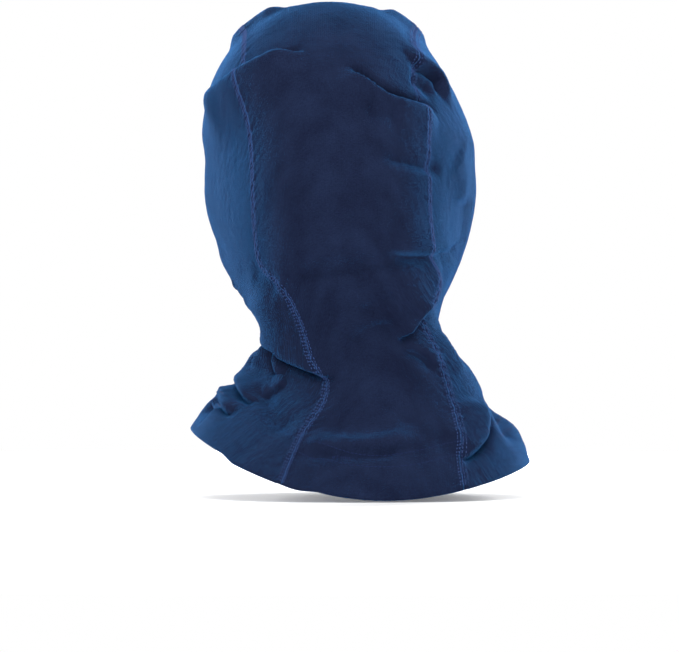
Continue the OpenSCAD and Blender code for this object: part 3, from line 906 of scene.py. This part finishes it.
def ring_stitches(columns, place, radius):
    """Bars along a ring, place(columns) giving points and normals."""
    middle = (columns[:-1] + columns[1:]) / 2
    half = (columns[1:] - columns[:-1]) / 2 * RING_STITCH_SHARE
    start, up = place(middle - half)
    end, _ = place(middle + half)
    return bars(start, end, up, radius)


def ring_loops(columns, first, second, radius):
    """A looper thread that crosses between two rings and back at every stitch."""
    a, normal = first(columns)
    b, _ = second((columns[:-1] + columns[1:]) / 2)
    return [bars(a[:-1], b, normal[:-1], radius), bars(b, a[1:], normal[:-1], radius)]


# Rows of the hem's threads below the top of the hem, on the scale of HEM_DEPTH.
HEM_NEEDLES = (0.6, 5.0)
HEM_LOOPER = (0.3, 5.2)
HEM_LOOPER_MIDDLE = 2.8


class HOOD_OT_hem(bpy.types.Operator):
    """Coverstitch the turned-up hem: twin needle rows outside, a looper inside"""

    bl_idname = "hood.hem"
    bl_label = "Hem stitching"

    def execute(self, context):
        cloth, sizes = CLOTH["hood"], context.scene.hood_sizes
        thread = textured_thread("polyester tonal thread", context.scene.hood_colours.tone_thread)
        radius = sizes.thread / MM / 2 * 0.8
        rows_per_mm = HEM_ROWS / HEM_DEPTH
        columns = ring_columns(cloth, HEM_ROW, sizes.hem_pitch / MM)

        def at(offset, height):
            row = HEM_ROW + offset * rows_per_mm
            return lambda c: cloth.place(np.full(len(c), row), c, np.full(len(c), height))

        over = CLOTH_T + 0.4 * radius
        twin = [ring_stitches(columns, at(offset, over), radius) for offset in HEM_NEEDLES]
        riding(thread_piece("hem_needle_thread_stitches", twin, thread), "thread", "hem_needle_threads")
        under = -CLOTH_T - 0.6 * radius
        loops = ring_loops(columns, at(HEM_LOOPER[0], under), at(HEM_LOOPER[1], under), radius)
        loops.append(ring_stitches(columns, at(HEM_LOOPER_MIDDLE, under), radius))
        riding(thread_piece("hem_looper_thread_stitches", loops, thread), "thread", "hem_looper_thread")
        return {"FINISHED"}


BINDING_T = 0.9
EASE = 0.25
ELASTIC_W = 3.2
# Rows of the binding's threads from its edge on the cloth, on the scale of BINDING_W, and how deep
# they press it in.
BINDING_NEEDLES = (1.6, 4.4)
BINDING_DENTS = (0.35, 0.25)
BINDING_DENT_W = 1.1
BINDING_LOOPER = (1.2, 4.6)


class HOOD_OT_binding(bpy.types.Operator):
    """Fold a strip of the jersey over the cut edge of the face opening, and stitch it down"""

    bl_idname = "hood.binding"
    bl_label = "Face binding"

    def execute(self, context):
        cloth, colours, sizes = CLOTH["hood"], context.scene.hood_colours, context.scene.hood_sizes
        jersey = merino_jersey("merino jersey, binding", colours, sizes.wale)
        fold = ELASTIC_W + 2 * EASE
        mid = CLOTH_T / 2
        leg = np.linspace(-BINDING_W, fold, 12)
        turn = np.radians(np.linspace(75, -75, 6))
        radius = mid + EASE + BINDING_T
        swell = 0.5 * np.exp(-(((leg - 1.5) / 3.0) ** 2))
        rise = radius + swell
        for inset, depth in zip(BINDING_NEEDLES, BINDING_DENTS):
            rise -= depth * np.exp(-(((leg + BINDING_W - inset) / BINDING_DENT_W) ** 2))
        outside = [(u, mid + r) for u, r in zip(leg, rise)]
        outside += [(fold + radius * np.cos(a), mid + rise[-1] * np.sin(a)) for a in turn]
        outside += [(u, mid - r) for u, r in zip(leg[::-1], rise[::-1])]
        hollow = mid + EASE
        inside = [(u, mid - hollow) for u in leg]
        inside += [(fold + hollow * np.cos(a), mid - hollow * np.sin(a)) for a in turn]
        inside += [(u, mid + hollow) for u in leg[::-1]]
        section = outside + inside
        length = np.concatenate([[0], np.cumsum(np.linalg.norm(np.diff(section, axis=0), axis=1))])
        around = np.concatenate([[0], np.cumsum(cloth.spacing[0])])
        columns = np.arange(COLUMNS)
        # Small waves round the opening, fainter near the binding's edge on the cloth.
        turns = 2 * np.pi * around[:-1]
        wave = 0.22 * np.sin(turns / 5.2) + 0.12 * np.sin(turns / 8.3 + 1)
        points = []
        for reach, height in section:
            level = height + np.sign(height - mid) * wave * (0.35 if reach < -6 else 1.0)
            if reach <= 0:
                row = np.full(COLUMNS, -reach * BINDING_ROWS / BINDING_W)
                points.append(cloth.place(row, columns.astype(float), level)[0])
            else:
                points.append(cloth.beyond(columns, reach, level[:, None]))
        points = np.stack(points, 1)
        count = len(section)
        index = np.arange(COLUMNS * count).reshape(COLUMNS, count)
        after, next_up = np.roll(index, -1, 0), np.roll(index, -1, 1)
        both = np.roll(after, -1, 1)
        faces = np.stack([index.ravel(), after.ravel(), both.ravel(), next_up.ravel()], 1)
        uv = np.stack(np.broadcast_arrays(around[:-1, None], length[None]), -1).reshape(-1, 2) * MM
        binding = new_piece("face_binding_cloth", points.reshape(-1, 3), faces.tolist(), jersey, uv)
        riding(binding, "jersey", "face_binding")
        self.sew(cloth, context)
        self.finish_elastic(colours)
        return {"FINISHED"}

    def sew(self, cloth, context):
        """Two needle rows outside and a looper inside, near the binding's edge."""
        sizes = context.scene.hood_sizes
        thread = textured_thread("polyester binding thread", context.scene.hood_colours.tone_thread)
        radius = sizes.thread / MM / 2 * 0.9
        columns = ring_columns(cloth, BINDING_ROW, sizes.hem_pitch / MM)

        def at(inset, height):
            row = (BINDING_W - inset) * BINDING_ROWS / BINDING_W
            return lambda c: cloth.place(np.full(len(c), row), c, np.full(len(c), height))

        top = CLOTH_T + EASE + BINDING_T - 0.1
        needles = [ring_stitches(columns, at(inset, top), radius) for inset in BINDING_NEEDLES]
        piece = thread_piece("binding_needle_thread_stitches", needles, thread)
        riding(piece, "thread", "binding_needle_thread")
        under = -EASE - BINDING_T + 0.1
        loops = ring_loops(columns, at(BINDING_LOOPER[0], under), at(BINDING_LOOPER[1], under), radius)
        piece = thread_piece("binding_looper_thread_stitches", loops, thread)
        riding(piece, "thread", "binding_looper_thread")

    def finish_elastic(self, colours):
        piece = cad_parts["face_elastic"]
        piece.data.materials.clear()
        piece.data.materials.append(elastic_tape("knitted elastic", colours.elastic))


class HOOD_OT_label(bpy.types.Operator):
    """Tack a folded satin care label inside the nape"""

    bl_idname = "hood.label"
    bl_label = "Care label"

    def execute(self, context):
        satin = satin_ribbon("polyester satin", context.scene.hood_colours.label)
        thread = textured_thread("polyester tack thread", context.scene.hood_colours.tone_thread)
        low, high = np.array(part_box("care_label")) / MM
        hinge = np.array([(low[0] + high[0]) / 2, (low[1] + high[1]) / 2, high[2]])
        width, length, thick = high[0] - low[0], high[2] - low[2], high[1] - low[1]
        flap = self.ribbon("care_label_ribbon", hinge, width, length, thick, satin)
        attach(flap, "label")
        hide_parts("care_label")
        for node in ("label_root", "label_stitching"):
            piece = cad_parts[node]
            piece.data.materials.clear()
            piece.data.materials.append(satin if node == "label_root" else thread)
        return {"FINISHED"}

    def ribbon(self, name, hinge, width, length, thick, material):
        """Two plies of ribbon that hang from their fold, the lower end cut and a little curled."""
        across = np.linspace(-width / 2, width / 2, 25)
        down = np.linspace(0, length, 31)
        x, z = np.meshgrid(across, down)
        curl = (z / length) ** 2
        y = 0.6 * curl * np.cos(np.pi * x / width * 1.3) - 0.3 * curl
        middle = np.stack([hinge[0] + x, hinge[1] - y, hinge[2] - z], -1)
        half = (thick / 2 * np.sqrt(np.clip(1 - (2 * np.abs(x) / width) ** 16, 0.15, 1)))[..., None]
        away = np.array([0.0, 1.0, 0.0])
        points, faces = slab(middle + away * half, middle - away * half)
        uv = np.tile(np.stack([x, z], -1).reshape(-1, 2), (2, 1)) * MM
        return new_piece(name, points, faces.tolist(), material, uv)


# In metres: the camera's place across and in height, and the lights' places from the hood's middle.
CAMERA_X = -0.0063
CAMERA_Z = -0.2138
RIM_LEFT = (0.95, -1.4, 0.10)
RIM_RIGHT = (-0.95, -1.4, 0.20)
RIM_SIZE = (0.3, 1.0)
TOP_LIGHT = (0.1, 0.55, 1.5)
TOP_SIZE = (1.0, 0.6)
FLOOR_RADIUS = 1.1
FLOOR_GAP = 0.0015


class HOOD_OT_stage(bpy.types.Operator):
    """Camera behind the hood, a pale floor, and soft light with two strong rims"""

    bl_idname = "hood.stage"
    bl_label = "Stage"

    def execute(self, context):
        stage, colours = context.scene.hood_stage, context.scene.hood_colours
        low, high = np.array(CAD_BOX[0]), np.array(CAD_BOX[1])
        self.floor(colours, low[2])
        camera = bpy.data.objects.new("camera", bpy.data.cameras.new("camera"))
        context.scene.collection.objects.link(camera)
        camera.data.sensor_width = 36.0
        camera.data.lens = camera.data.sensor_width * stage.distance / stage.view_width
        camera.location = (CAMERA_X, stage.distance, CAMERA_Z)
        camera.rotation_euler = (np.pi / 2, 0.0, np.pi)
        context.scene.camera = camera
        middle = (low + high) / 2
        self.light("rim_left", middle + RIM_LEFT, middle, RIM_SIZE, stage.rim_power)
        self.light("rim_right", middle + RIM_RIGHT, middle, RIM_SIZE, stage.rim_power)
        self.light("top", middle + TOP_LIGHT, middle, TOP_SIZE, stage.fill_power)
        self.surroundings(context, stage)
        context.scene.view_settings.view_transform = "Standard"
        return {"FINISHED"}

    def surroundings(self, context, stage):
        """Even soft light, which the camera sees as plain white."""
        world = bpy.data.worlds.new("studio")
        context.scene.world = world
        world.use_nodes = True
        nodes, links = world.node_tree.nodes, world.node_tree.links
        seen = nodes.new("ShaderNodeLightPath")
        strength = nodes.new("ShaderNodeMath")
        strength.operation = "MAXIMUM"
        strength.inputs[1].default_value = stage.sky
        links.new(seen.outputs["Is Camera Ray"], strength.inputs[0])
        links.new(strength.outputs["Value"], nodes["Background"].inputs["Strength"])
        nodes["Background"].inputs["Color"].default_value = (1.0, 1.0, 1.0, 1.0)

    def floor(self, colours, level):
        bpy.ops.mesh.primitive_circle_add(
            vertices=96, radius=FLOOR_RADIUS, fill_type="NGON", location=(0, 0, level - FLOOR_GAP))
        floor = bpy.context.active_object
        floor.name = "studio_floor"
        floor.data.materials.append(matte_paint("matte studio paint", colours.floor))

    def light(self, name, place, target, size, power):
        lamp = bpy.data.lights.new(name, "AREA")
        lamp.shape = "RECTANGLE"
        lamp.size, lamp.size_y = size
        lamp.energy = power
        light = bpy.data.objects.new(name, lamp)
        light.location = place
        light.rotation_euler = (Vector(target) - Vector(place)).to_track_quat("-Z", "Y").to_euler()
        light.visible_camera = False
        bpy.context.scene.collection.objects.link(light)


class HOOD_PT_panel(bpy.types.Panel):
    """The hood's steps and settings"""

    bl_idname = "HOOD_PT_panel"
    bl_label = "Balaclava"
    bl_space_type = "VIEW_3D"
    bl_region_type = "UI"
    bl_category = "Balaclava"

    def draw(self, context):
        for operator in OPERATORS:
            self.layout.operator(operator.bl_idname)
        for group in (context.scene.hood_sizes, context.scene.hood_colours, context.scene.hood_stage):
            box = self.layout.box()
            for name in group.bl_rna.properties.keys():
                if name not in {"rna_type", "name"}:
                    box.prop(group, name)


OPERATORS = (
    HOOD_OT_shape, HOOD_OT_panels, HOOD_OT_seams, HOOD_OT_hem, HOOD_OT_binding, HOOD_OT_label, HOOD_OT_stage,
)
GROUPS = {"hood_sizes": HoodSizes, "hood_colours": HoodColours, "hood_stage": HoodStage}


def register():
    for group in GROUPS.values():
        bpy.utils.register_class(group)
    for name, group in GROUPS.items():
        setattr(bpy.types.Scene, name, bpy.props.PointerProperty(type=group))
    for operator in OPERATORS:
        bpy.utils.register_class(operator)
    bpy.utils.register_class(HOOD_PT_panel)


def unregister():
    bpy.utils.unregister_class(HOOD_PT_panel)
    for operator in reversed(OPERATORS):
        bpy.utils.unregister_class(operator)
    for name, group in GROUPS.items():
        delattr(bpy.types.Scene, name)
        bpy.utils.unregister_class(group)


def main():
    register()
    bpy.ops.hood.shape()
    bpy.ops.hood.panels()
    bpy.ops.hood.seams()
    bpy.ops.hood.hem()
    bpy.ops.hood.binding()
    bpy.ops.hood.label()
    bpy.ops.hood.stage()


if __name__ == "__main__":
    main()
